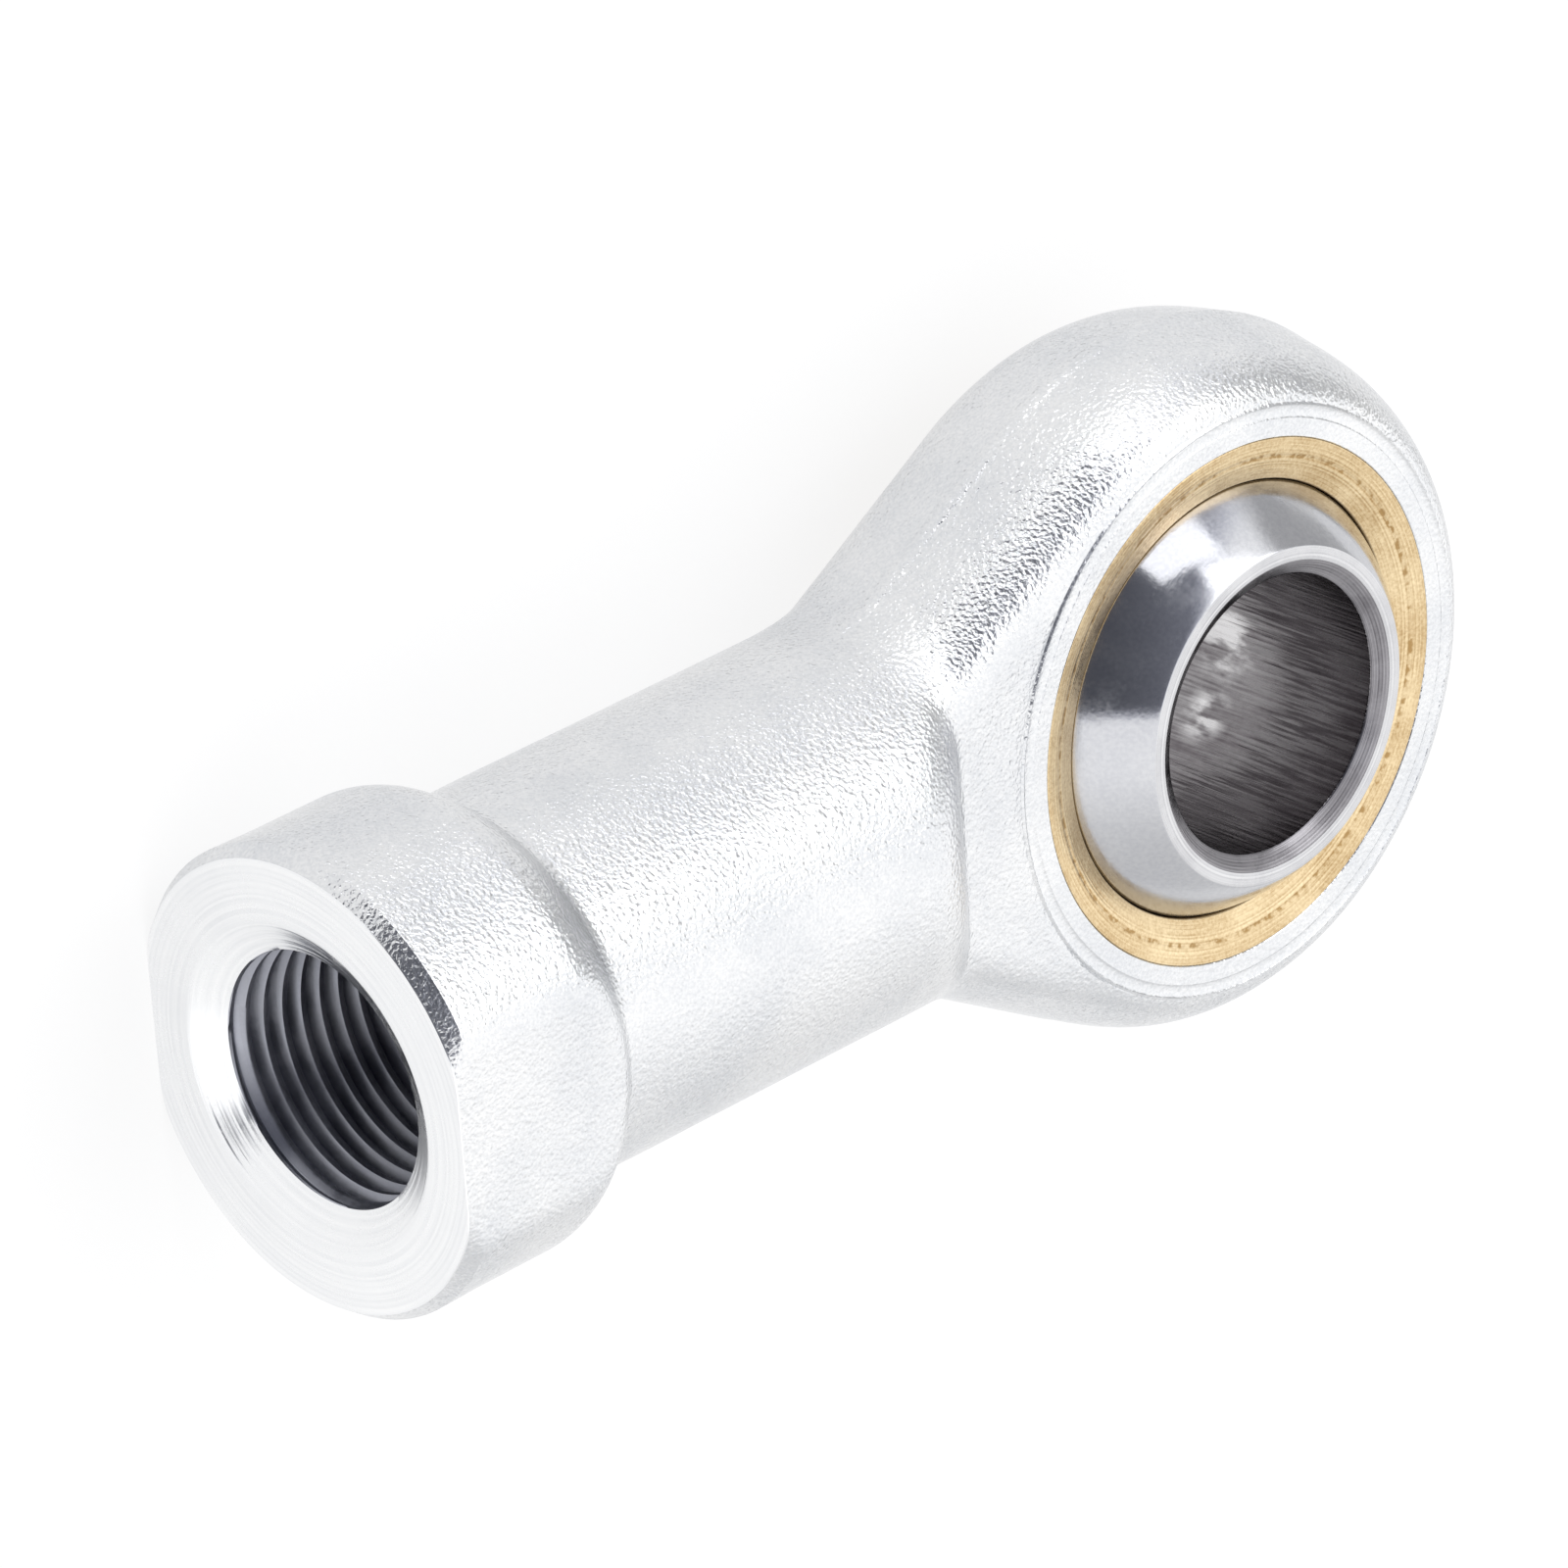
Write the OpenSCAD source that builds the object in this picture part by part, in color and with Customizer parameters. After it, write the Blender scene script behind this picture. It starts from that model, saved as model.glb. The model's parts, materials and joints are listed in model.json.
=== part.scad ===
// Female rod end bearing: a forged body whose eye holds a brass race, swaged round a
// truncated ball with a through bore. A threaded hole in the other end takes the rod.
// Millimetres. The origin is the centre of the ball. +Z is the bore's axis and +X runs
// from the eye to the threaded end, so the part lies on its side.

/* [Ball] */
// Diameter of the ball's sphere
ball_d = 31.75; // [31.3:0.05:32.6]
// Width of the ball between its two flat faces
ball_w = 23; // [21:0.5:24.5]
// Diameter of the bore through the ball
bore_d = 18; // [14:0.5:18.5]
// Radial size of the chamfer at each mouth of the bore
bore_chamfer = 1.1; // [0.4:0.1:1.2]
// Depth of the chamfer at each mouth of the bore
bore_chamfer_depth = 0.65; // [0.3:0.05:1.2]

/* [Race] */
// Running clearance between the ball and the race, on the radius
race_clearance = 0.05; // [0.02:0.01:0.1]
// Thickness of the race at its middle
race_wall = 2; // [1.6:0.1:2.6]
// Inset of the race's outer edge at each face, where the eye is staked over it
stake_inset = 0.7; // [0.3:0.1:1]
// Length of the tapered stretch that the stake locks, at each face
stake_len = 1.8; // [1:0.1:3]
// Radial gap between the ball and the race's mouth, at the face
mouth_gap = 1.1; // [0.6:0.1:1.4]
// Angle of the mouth's bevel from the bore's axis
mouth_angle = 22; // [12:1:35]
// Width of the swaging mark on the race's face
mark_w = 0.4; // [0.2:0.05:0.6]
// Depth of the swaging mark
mark_depth = 0.12; // [0.05:0.01:0.25]

/* [Eye] */
// Diameter of the eye at its middle plane
eye_d = 46; // [45.5:0.5:50]
// Width of the eye and of the race between their faces
eye_w = 16.5; // [15:0.5:18]
// Radius of each half of the crown across the eye's rim
crown_r = 19; // [17:0.5:24]
// Distance of each half's centre past the middle plane, so that they meet in the dies' parting line
crown_lift = 2.4; // [0.8:0.1:3]
// Width of the plain steel ring between the race and the staking groove
land_w = 1; // [0.7:0.1:1.2]
// Width of the staking groove round the race
groove_w = 0.85; // [0.5:0.05:0.9]
// Depth of the staking groove
groove_depth = 0.3; // [0.15:0.05:0.5]

/* [Neck and shank] */
// Diameter of the shank
shank_d = 25; // [24:0.5:27]
// Angle between the shank's axis and each flank of the neck
flank_angle = 30; // [26:1:36]
// Radius of the hollow blend between flank and shank
flank_blend = 8; // [5:0.5:12]
// Depth to which that blend runs in under the shank's surface
blend_sink = 0.4; // [0.2:0.1:0.8]
// Slope of the ramp from the eye's face up to the shank
ramp_angle = 48; // [35:1:60]

/* [Collar] */
// Distance from the centre of the ball to the threaded end
centre_to_end = 71; // [66:0.5:85]
// Diameter of the collar
collar_d = 30.2; // [29.5:0.1:33]
// Distance across the two wrench flats
flats_w = 27; // [26:0.5:28.5]
// Length of the collar with its shoulder
collar_len = 14.5; // [11:0.5:18]
// Slope of the shoulder between shank and collar
shoulder_angle = 42; // [30:1:50]
// Hollow rounding at the shoulder's foot
shoulder_foot_r = 1.5; // [0.5:0.5:3]
// Rounding at the shoulder's crest
shoulder_crest_r = 4.5; // [2:0.5:5]
// Radial size of the chamfer at the threaded end
end_chamfer = 0.7; // [0.3:0.1:1.2]
// Length of the chamfer at the threaded end
end_chamfer_len = 1; // [0.5:0.1:1.5]

/* [Thread] */
// Nominal diameter of the thread
thread_d = 18; // [14:0.5:18.5]
// Pitch of the thread
thread_pitch = 1.5; // [1:0.25:2]
// Depth of the threaded hole, from the end face to the drill point's shoulder
thread_depth = 36; // [24:0.5:38]
// Diameter of the countersink at the end face
countersink_d = 21; // [19:0.5:24]
// Full angle of the countersink
countersink_angle = 120; // [90:5:130]
// Full angle of the drill point
drill_angle = 118; // [90:2:140]

/* [Hidden] */
// Share of the pitch between a thread's nominal and core diameters
CORE_PER_PITCH = 1.0825;
// Overrun of every cutting shape past the surface it cuts
overrun = 1;
$fn = 96;

ball_r = ball_d / 2;
bore_r = bore_d / 2;
eye_r = eye_d / 2;
half_w = eye_w / 2;
shank_r = shank_d / 2;
collar_r = collar_d / 2;

// Race: spherical inside, and outside the seat that the eye shares with it
socket_r = ball_r + race_clearance;
seat_r = socket_r + race_wall;
face_r = seat_r - stake_inset;
mouth_r = sqrt(ball_r * ball_r - half_w * half_w) + mouth_gap;
mouth_run = half_w * tan(mouth_angle);
mark_r = (mouth_r + face_r) / 2;
groove_r = face_r + land_w + groove_w / 2;

// Rim: two crown arcs, which meet in a peak at the middle plane and reach the faces at the radius rim_r
crown_x = eye_r - sqrt(crown_r * crown_r - crown_lift * crown_lift);
rim_r = crown_x + sqrt(crown_r * crown_r - pow(half_w + crown_lift, 2));

// Neck: each flank is tangent to the eye and reaches the shank's side at neck_x
flank_turn = 90 - flank_angle;
neck_x = (eye_r - shank_r * cos(flank_angle)) / sin(flank_angle);
blend_y = shank_r - blend_sink + flank_blend;
blend_x = (eye_r + flank_blend - blend_y * cos(flank_angle)) / sin(flank_angle);
flank_len = (blend_x - (eye_r + flank_blend) * sin(flank_angle)) / cos(flank_angle);
// Reach of the blend's section past the shank's axis, so that the two sides overlap
blend_lap = shank_r / 2;
blend_inner_x = eye_r - shank_r - blend_lap;
// Length by which the ramp runs down into the neck
neck_lap = 1.2;
shank_x = neck_x - neck_lap;
ramp_foot_z = half_w - neck_lap * tan(ramp_angle);
ramp_top_x = neck_x + (flats_w / 2 - half_w) / tan(ramp_angle);

// Collar: a sloped shoulder that starts on the shank, then a plain cylinder
shoulder_x = centre_to_end - collar_len;
crest_x = shoulder_x + (collar_r - shank_r) / tan(shoulder_angle);
slope_dir = [sin(shoulder_angle), cos(shoulder_angle)];
along_dir = [0, 1];

// Threaded hole
core_r = (thread_d - CORE_PER_PITCH * thread_pitch) / 2;
countersink_r = countersink_d / 2;
countersink_depth = (countersink_r - core_r) / tan(countersink_angle / 2);
drill_point = core_r / tan(drill_angle / 2);

// Turns a profile of [radius, distance along X] about the X axis
module turn_about_x() {
  rotate([0, 90, 0])
    rotate_extrude()
      children();
}

// The sliver between the corner p and an arc tangent to both of its legs. It laps over
// the corner, so that it can be added to a hollow corner or cut from a sharp one.
module corner_sliver(p, leg_a, leg_b, radius) {
  half_angle = acos(leg_a * leg_b) / 2;
  reach = radius / tan(half_angle);
  middle = (leg_a + leg_b) / norm(leg_a + leg_b);
  difference() {
    polygon([p - middle * overrun, p + leg_a * reach, p + leg_b * reach]);
    translate(p + middle * radius / sin(half_angle))
      circle(radius);
  }
}

// Half section of the eye from the radius inner_x out to the crowned rim
module rim_section(inner_x) {
  intersection() {
    union() {
      intersection_for(side = [-1, 1])
        translate([crown_x, side * crown_lift])
          circle(crown_r);
      translate([inner_x, -eye_w])
        square([rim_r - inner_x - overrun, 2 * eye_w]);
    }
    translate([inner_x, -half_w])
      square([eye_r - inner_x + overrun, eye_w]);
  }
}

// One flank: the rim's section drawn straight on from the eye
module flank() {
  rotate([0, 0, flank_turn])
    rotate([90, 0, 0])
      linear_extrude(flank_len)
        rim_section(0);
}

// The same section, drawn round the hollow blend that leads on to the shank
module hollow_blend() {
  translate([blend_x, blend_y, 0])
    rotate([0, 0, -90 - flank_angle])
      rotate_extrude(angle = flank_angle)
        translate([flank_blend + eye_r, 0])
          mirror([1, 0])
            rim_section(blend_inner_x);
}

// Eye and neck. The eye is turned all the way round, so that the flanks lap into it
module eye() {
  rotate_extrude()
    rim_section(0);
  for (side = [0, 1])
    mirror([0, side, 0]) {
      flank();
      hollow_blend();
    }
}

// Half section of the shank and the collar
module turned_section() {
  difference() {
    union() {
      translate([0, shank_x])
        square([shank_r, centre_to_end - shank_x]);
      polygon([
        [0, shoulder_x],
        [shank_r, shoulder_x],
        [collar_r, crest_x],
        [collar_r, centre_to_end - end_chamfer_len],
        [collar_r - end_chamfer, centre_to_end],
        [0, centre_to_end]
      ]);
      corner_sliver([shank_r, shoulder_x], slope_dir, -along_dir, shoulder_foot_r);
    }
    corner_sliver([collar_r, crest_x], -slope_dir, along_dir, shoulder_crest_r);
  }
}

// Side view: the ramps at the neck and the wrench flats at the collar
module side_outline() {
  far = centre_to_end + overrun;
  polygon([
    [shank_x, -ramp_foot_z],
    [ramp_top_x, -flats_w / 2],
    [far, -flats_w / 2],
    [far, flats_w / 2],
    [ramp_top_x, flats_w / 2],
    [shank_x, ramp_foot_z]
  ]);
}

// Shank and collar, with the ramps and the flats cut
module shank_and_collar() {
  intersection() {
    turn_about_x()
      turned_section();
    rotate([90, 0, 0])
      linear_extrude(collar_d + 2 * overrun, center = true)
        side_outline();
  }
}

// Outer half section of the race, which is also the seat in the eye
module seat_section(inner_x) {
  taper_z = half_w - stake_len;
  polygon([
    [inner_x, -half_w],
    [face_r, -half_w],
    [seat_r, -taper_z],
    [seat_r, taper_z],
    [face_r, half_w],
    [inner_x, half_w]
  ]);
}

// Ring with a V section, cut into a face at half_w
module face_groove(radius, width, depth) {
  for (side = [-1, 1])
    rotate_extrude()
      translate([radius, side * half_w])
        polygon([[-width / 2, 0], [0, -side * depth], [width / 2, 0], [0, side * depth]]);
}

// Drilled, countersunk hole for the rod's thread
module thread_hole() {
  hole_end = centre_to_end - thread_depth;
  far = centre_to_end + overrun;
  turn_about_x()
    polygon([
      [0, hole_end - drill_point],
      [core_r, hole_end],
      [core_r, centre_to_end - countersink_depth],
      [countersink_r + overrun * tan(countersink_angle / 2), far],
      [0, far]
    ]);
}

// Forged and machined body
module rod_end_body() {
  color("gainsboro")
    difference() {
      union() {
        eye();
        shank_and_collar();
      }
      rotate_extrude()
        seat_section(0);
      face_groove(groove_r, groove_w, groove_depth);
      thread_hole();
    }
}

// Race, swaged round the ball and staked in the eye
module race() {
  color("goldenrod")
    difference() {
      rotate_extrude()
        difference() {
          seat_section(mouth_r - mouth_run);
          circle(socket_r);
          for (side = [-1, 1])
            polygon([
              [mouth_r, side * half_w],
              [mouth_r - mouth_run, 0],
              [mouth_r - mouth_run - overrun, side * half_w]
            ]);
        }
      face_groove(mark_r, mark_w, mark_depth);
    }
}

// Ball with two flat faces and a chamfered bore
module ball() {
  mouth_z = ball_w / 2 - bore_chamfer_depth;
  color("silver")
    difference() {
      intersection() {
        sphere(ball_r);
        cylinder(r = ball_r + overrun, h = ball_w, center = true);
      }
      cylinder(r = bore_r, h = ball_w + 2 * overrun, center = true);
      for (side = [0, 1])
        mirror([0, 0, side])
          translate([0, 0, mouth_z])
            cylinder(r1 = bore_r, r2 = bore_r + 2 * bore_chamfer, h = 2 * bore_chamfer_depth);
    }
}

rod_end_body();
race();
ball();
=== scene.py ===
# %% [markdown]
# A rod end bearing, dressed for its portrait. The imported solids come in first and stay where
# they are: they are the frame. Everything that shows is then laid over them as a surface worked
# out with numpy, so that the forging gets soft corners, the hole a real thread and the ball a
# true curve, while nothing leaves the box that the solids fill.

# %% Load the solids as a fixed frame
import json

import bpy
import numpy as np
from mathutils import Matrix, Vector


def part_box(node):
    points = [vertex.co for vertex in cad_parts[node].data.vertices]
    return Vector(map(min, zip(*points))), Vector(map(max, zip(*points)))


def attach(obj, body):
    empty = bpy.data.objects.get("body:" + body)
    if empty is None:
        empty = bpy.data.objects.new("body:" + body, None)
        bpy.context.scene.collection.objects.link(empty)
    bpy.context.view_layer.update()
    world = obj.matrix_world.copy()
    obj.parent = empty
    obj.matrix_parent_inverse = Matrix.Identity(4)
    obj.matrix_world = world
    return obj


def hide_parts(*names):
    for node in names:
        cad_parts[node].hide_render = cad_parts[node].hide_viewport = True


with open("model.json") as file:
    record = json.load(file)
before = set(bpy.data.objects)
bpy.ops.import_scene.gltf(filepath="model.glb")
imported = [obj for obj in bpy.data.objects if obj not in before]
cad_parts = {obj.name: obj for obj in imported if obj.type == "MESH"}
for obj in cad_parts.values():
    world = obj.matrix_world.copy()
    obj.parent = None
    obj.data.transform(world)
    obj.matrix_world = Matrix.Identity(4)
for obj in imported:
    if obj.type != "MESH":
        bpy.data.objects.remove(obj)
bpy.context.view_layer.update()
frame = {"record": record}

# %% [markdown]
# The main sizes are read from the solids and from the mounts in the record, in millimetres.
# The others repeat the sizes that the solids were drawn with, since a box doesn't tell them.

# %% Sizes in millimetres
MM = 0.001
MOUNTS = {mount["name"]: mount.get("dims") or {} for mount in frame["record"]["mounts"]}


def half_sizes(node):
    """The far corner of a solid's box, in millimetres."""
    return np.round(np.array(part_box(node)[1]) / MM, 3)


END_X, EYE_R, FLAT_Z = half_sizes("rod_end_body")
SEAT_R, _, HALF_W = half_sizes("race")
BALL_HALF_W = half_sizes("ball")[2]
BALL_R = 31.75 / 2
BORE_R = MOUNTS["ball_bore"]["r_mm"]
CORE_R = MOUNTS["rod_thread"]["r_mm"]
SHANK_R = 25 / 2
COLLAR_R = 30.2 / 2
DRAFT, ROUNDING = np.tan(np.radians(8)), 4.7e-4
FLANK = np.radians(30)
RAMP = np.radians(48)
SHOULDER = np.radians(42)
SHOULDER_X = END_X - 14.5
END_CHAMFER = 0.7
END_CHAMFER_LEN = 1.0
NECK_X = (EYE_R - SHANK_R * np.cos(FLANK)) / np.sin(FLANK)
print("eye", 2 * EYE_R, "x", 2 * HALF_W, "mm, end at", END_X, "mm, neck at", round(NECK_X, 2), "mm")

# %% [markdown]
# The body is one steel forging: an eye, a neck that runs into a round shank, and a collar with
# two flats for a wrench. Its corners are all soft, because a die can't hold a sharp one. Bevels
# on a boolean of solids would break up where the neck's surfaces run together, so the shape is
# written as one field instead: a number for each point in space, below zero inside the steel.
# Two shapes are joined by the smaller of their fields, and cut by the larger. A small rounding
# of that choice gives the fillets.

# %% The forging as a field
RIM_SOFT, RAMP_SOFT = 1.0, 2.4
CREST_SOFT, FOOT_SOFT, FLAT_SOFT = 1.2, 0.4, 0.5
NECK_SOFT, NECK_SOFT_SIDE = 0.45, 1.4
MACHINED_R = 19.2
SEAM_X = NECK_X + 0.15
FLASH_H, FLASH_HALF_W, FLASH_SIDE = 0.05, 0.36, 0.3
FLASH_FADE = (NECK_X, NECK_X + 9)
SKIN_FADE_IN, SKIN_FADE_OUT = (MACHINED_R, MACHINED_R + 1.5), (END_X - 5, END_X - 1.2)
NECK_SIDE = (0.6, 0.92)
WAVE_H, WAVES, WAVE_LENGTHS = 0.06, 10, (5, 14)


def rounded_max(a, b, width):
    """The larger of a and b, raised by (width - gap) squared over four widths where they are close."""
    near = np.maximum(width - np.abs(a - b), 0)
    return np.maximum(a, b) + near * near / (4 * width)


def rounded_min(a, b, width):
    """The smaller of a and b, lowered in the same way."""
    return -rounded_max(-a, -b, width)


def ease(low, high, value):
    """0 below low, 1 above high, and 3t^2 - 2t^3 between."""
    t = np.clip((value - low) / (high - low), 0, 1)
    return t * t * (3 - 2 * t)


def plan_radius(x, y):
    """Distance from the bore's axis, or past the tangent point, distance measured square to a flank."""
    side = np.abs(y)
    along = x * np.cos(FLANK) - side * np.sin(FLANK)
    square = x * np.sin(FLANK) + side * np.cos(FLANK)
    return np.where(along > 0, square, np.hypot(x, side))


random = np.random.default_rng(18)
wave_ways = random.normal(size=(3, WAVES))
wave_ways *= 2 * np.pi / random.uniform(*WAVE_LENGTHS, WAVES) / np.linalg.norm(wave_ways, axis=0)
wave_starts = random.uniform(0, 2 * np.pi, WAVES)


def forged_skin(x, y, z):
    """How far the die's worn surface lies under the drawn one: a set-back with slow waves, less the
    low ridge at z = 0 that is left of the trimmed flash. It fades out towards machined faces."""
    waves = np.sin(np.stack([x, y, z], -1) @ wave_ways + wave_starts).mean(-1)
    flash = 1 - ease(FLASH_HALF_W, FLASH_HALF_W + FLASH_SIDE, np.abs(z))
    flash *= FLASH_H * (1 - ease(*FLASH_FADE, x)) * (0.75 + waves / 2)
    forged = ease(*SKIN_FADE_IN, np.hypot(x, y)) * (1 - ease(*SKIN_FADE_OUT, x))
    return forged * (FLASH_H + WAVE_H * (1 + waves) / 2 - flash)


def rim_radius(z):
    """Plan radius of the rim at a height h above or under the parting line, and how fast it shrinks:
    EYE_R less DRAFT h, less ROUNDING h^4."""
    height = np.abs(z)
    return EYE_R - DRAFT * height - ROUNDING * height ** 4, DRAFT + 4 * ROUNDING * height ** 3


def forging(x, y, z):
    """The field: the eye's crowned section joined to the turned shank and collar, cut by the ramps
    at the neck and by the flats, with the worn skin added."""
    radius, height = np.hypot(y, z), np.abs(z)
    rim, shrink = rim_radius(z)
    eye = rounded_max((plan_radius(x, y) - rim) / np.hypot(1, shrink), height - HALF_W, RIM_SOFT)
    ramp = (height - HALF_W) * np.cos(RAMP) - (x - NECK_X) * np.sin(RAMP)
    shank = rounded_max(radius - SHANK_R, ramp, RAMP_SOFT)
    slope = (radius - SHANK_R) * np.cos(SHOULDER) - (x - SHOULDER_X) * np.sin(SHOULDER)
    chamfer = np.maximum(x - END_X + END_CHAMFER_LEN, 0) * END_CHAMFER / END_CHAMFER_LEN
    collar = rounded_max(radius - COLLAR_R + chamfer, slope, CREST_SOFT)
    bar = rounded_max(rounded_min(shank, collar, FOOT_SOFT), height - FLAT_Z, FLAT_SOFT)
    neck_soft = NECK_SOFT + (NECK_SOFT_SIDE - NECK_SOFT) * ease(*NECK_SIDE, np.abs(y) / SHANK_R)
    return rounded_min(eye, bar, neck_soft) + forged_skin(x, y, z)


def settle(place, way, steps=30):
    """Slides points along fixed directions until the field is zero, by Newton's steps: each is the
    field over its slope along the way, held under 1 mm."""
    probe, least_slope = 0.01, 0.15
    for _ in range(steps):
        value = forging(*np.moveaxis(place, -1, 0))
        slope = (forging(*np.moveaxis(place + probe * way, -1, 0)) - value) / probe
        place = place - (np.clip(value / np.maximum(slope, least_slope), -1, 1))[..., None] * way
    return place


print("field at the ball's centre", round(float(forging(*np.zeros((3, 1)))[0]), 2), "mm")

# %% [markdown]
# A field has no mesh of its own. The skin is a net of two grids: rows round the bore's axis for
# the eye, and rings round the shank's axis for the rest. They share the loop in which the plane
# just past the neck cuts the forging, so the net has no seam there. Each point is set down near
# its place and then settled on the field.

# %% A net that gathers grids of points
class Net:
    """Points and faces of one mesh. Each face keeps the number of its finish."""

    def __init__(self):
        self.points, self.faces, self.finishes, self.count = [], [], [], 0

    def lay(self, points):
        """Adds a grid of points and returns their numbers in the same grid."""
        numbers = self.count + np.arange(points[..., 0].size).reshape(points.shape[:-1])
        self.points.append(points.reshape(-1, 3))
        self.count += numbers.size
        return numbers

    def sew(self, numbers, finish=0, closed=True):
        """Makes a quad for each four neighbours in a grid of numbers. Where the grid closes, its first
        column follows its last. A quad with two corners on one point becomes a triangle."""
        if closed:
            numbers = np.concatenate([numbers, numbers[:, :1]], 1)
        quads = np.stack([numbers[:-1, :-1], numbers[:-1, 1:], numbers[1:, 1:], numbers[1:, :-1]], -1)
        finishes = np.broadcast_to(np.reshape(finish, (-1, 1)), quads.shape[:2]).ravel()
        quads = quads.reshape(-1, 4)
        torn = ~self.distinct(quads)
        halves = np.concatenate([quads[torn][:, [0, 1, 2]], quads[torn][:, [0, 2, 3]]])
        true = self.distinct(halves)
        self.faces += quads[~torn].tolist() + halves[true].tolist()
        self.finishes += [*finishes[~torn], *np.tile(finishes[torn], 2)[true]]

    @staticmethod
    def distinct(faces):
        """Which faces have all their corners on different points."""
        return np.all(np.diff(np.sort(faces, 1), axis=1) > 0, axis=1)

    def mesh(self, name, materials, sharp_degrees):
        """The Blender object, at the origin and in metres, smooth but for edges past the angle."""
        made = bpy.data.meshes.new(name)
        made.from_pydata(np.concatenate(self.points) * MM, [], self.faces)
        for material in materials:
            made.materials.append(material)
        made.polygons.foreach_set("material_index", self.finishes)
        made.polygons.foreach_set("use_smooth", [True] * len(self.faces))
        made.set_sharp_from_angle(angle=np.radians(sharp_degrees))
        made.validate()
        piece = bpy.data.objects.new(name, made)
        bpy.context.scene.collection.objects.link(piece)
        made.calc_loop_triangles()
        print(name, len(made.vertices), "points,", len(made.loop_triangles), "triangles")
        return piece


def grid(x, y, z):
    """Points from three arrays that spread over one grid."""
    return np.stack(np.broadcast_arrays(x, y, z), -1).astype(float)


# %% [markdown]
# Round the eye the section of the rim is carried along a path: from the neck along one flank,
# round the back and along the other flank. On a flank the section leans over by degrees, so that
# it ends flat in the seam's plane. The rest of each face is filled by straight lines from the
# machined ring to the rim, or to the seam.

# %% Columns round the eye
FLANK_COLUMNS, BACK_COLUMNS, SEAM_COLUMNS, FACE_ROWS = 42, 250, 44, 14
TURN = np.pi / 2 - FLANK

leaning = np.linspace(1, 0, FLANK_COLUMNS + 1)
back = np.linspace(TURN, 2 * np.pi - TURN, BACK_COLUMNS + 1)[1:-1]
turn = np.concatenate([np.full_like(leaning, TURN), back, np.full_like(leaning, 2 * np.pi - TURN)])
lean = np.concatenate([leaning, np.zeros_like(back), leaning[::-1]])
side = np.where(turn < np.pi, 1.0, -1.0)
RIM_COLUMNS = len(turn)


def rim_plan(offset):
    """Plan of the rim's columns at a distance from the bore's axis: on the circle at the angle turn,
    then on along the flank, by the share lean of the way to the seam."""
    reach = lean * (SEAM_X - offset * np.sin(FLANK)) / np.cos(FLANK)
    x = offset * np.cos(turn) + reach * np.cos(FLANK)
    y = offset * np.sin(turn) - side * reach * np.sin(FLANK)
    return x, y


edge_x, edge_y = rim_plan(rim_radius(HALF_W)[0])
seam_y = np.linspace(edge_y[-1], edge_y[0], SEAM_COLUMNS + 1)[1:-1]
edge_x = np.concatenate([edge_x, np.full_like(seam_y, SEAM_X)])
edge_y = np.concatenate([edge_y, seam_y])
ray = np.arctan2(edge_y, edge_x)
print(len(ray), "columns round the eye,", RIM_COLUMNS, "of them over the rim")

# %% [markdown]
# The two faces of the eye carry a pressed ring: a plain land beside the brass, and the shallow
# groove that the staking tool leaves. It is a profile of radius and depth, turned about the
# bore's axis, and its last row sinks to meet the forging.

# %% Faces, rim and seat of the eye
STAKE_INSET, STAKE_LEN, LAND_W, GROOVE_W, GROOVE_DEPTH = 0.9, 1.8, 1.2, 0.85, 0.1
FORGED, TURNED, THREADED, FACED = 0, 1, 2, 3
face_r = SEAT_R - STAKE_INSET
groove_in = face_r + LAND_W
STAKE_EDGE, LAND_EDGE = 0.05, 0.3

groove_share = np.linspace(0, 1, 11)
groove_depth = GROOVE_DEPTH * np.sin(np.pi * groove_share) ** 0.4
groove_r = groove_in + GROOVE_W * groove_share
ring_r = np.concatenate([[face_r, face_r + STAKE_EDGE, groove_in - LAND_EDGE], groove_r, [MACHINED_R]])
edge_depth = forging(*np.array([[-MACHINED_R], [0.0], [HALF_W]]))
ring_depth = np.concatenate([[STAKE_EDGE, 0, 0], groove_depth, edge_depth])

net = Net()


def eye_face(up):
    """Rows from the seat's edge out to the rim and the seam, on the face at up * HALF_W: turned rows
    by the ring's profile, and forged rows on straight lines settled up or down on the field."""
    radius, level = ring_r[:, None], up * (HALF_W - ring_depth)[:, None]
    turned = grid(radius * np.cos(ray), radius * np.sin(ray), level)
    share = 1 - (1 - np.linspace(0, 1, FACE_ROWS + 1)[1:, None]) ** 1.6
    x = (1 - share) * MACHINED_R * np.cos(ray) + share * edge_x
    y = (1 - share) * MACHINED_R * np.sin(ray) + share * edge_y
    forged = settle(grid(x, y, up * HALF_W), grid(0, 0, np.full_like(x, up)))
    return net.lay(turned), net.lay(forged)


top_turned, top_forged = eye_face(1)
low_turned, low_forged = eye_face(-1)

CROWN_START, CROWN_ROWS = 0.9, 25
flash_z = FLASH_HALF_W + FLASH_SIDE * np.array([-1.0, -0.2, 0.25, 0.5, 0.75, 1.2])
half_z = np.concatenate([flash_z, np.linspace(CROWN_START, HALF_W, CROWN_ROWS)[:-1]])
rim_z = np.concatenate([-half_z[::-1], [0], half_z])[:, None]
rim_r, shrink = rim_radius(rim_z)
crown = np.sign(rim_z) * np.arctan(shrink)
rim_x, rim_y = rim_plan(rim_r)
push = turn + side * lean * FLANK
rim_way = grid(np.cos(crown) * np.cos(push), np.cos(crown) * np.sin(push), np.sin(crown))
rim = net.lay(settle(grid(rim_x, rim_y, rim_z), rim_way))
rim = np.concatenate([low_forged[-1:, :RIM_COLUMNS], rim, top_forged[-1:, :RIM_COLUMNS]])

seat_z = (HALF_W - STAKE_LEN) * np.array([1.0, -1.0])[:, None]
seat = net.lay(grid(SEAT_R * np.cos(ray), SEAT_R * np.sin(ray), seat_z))

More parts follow.
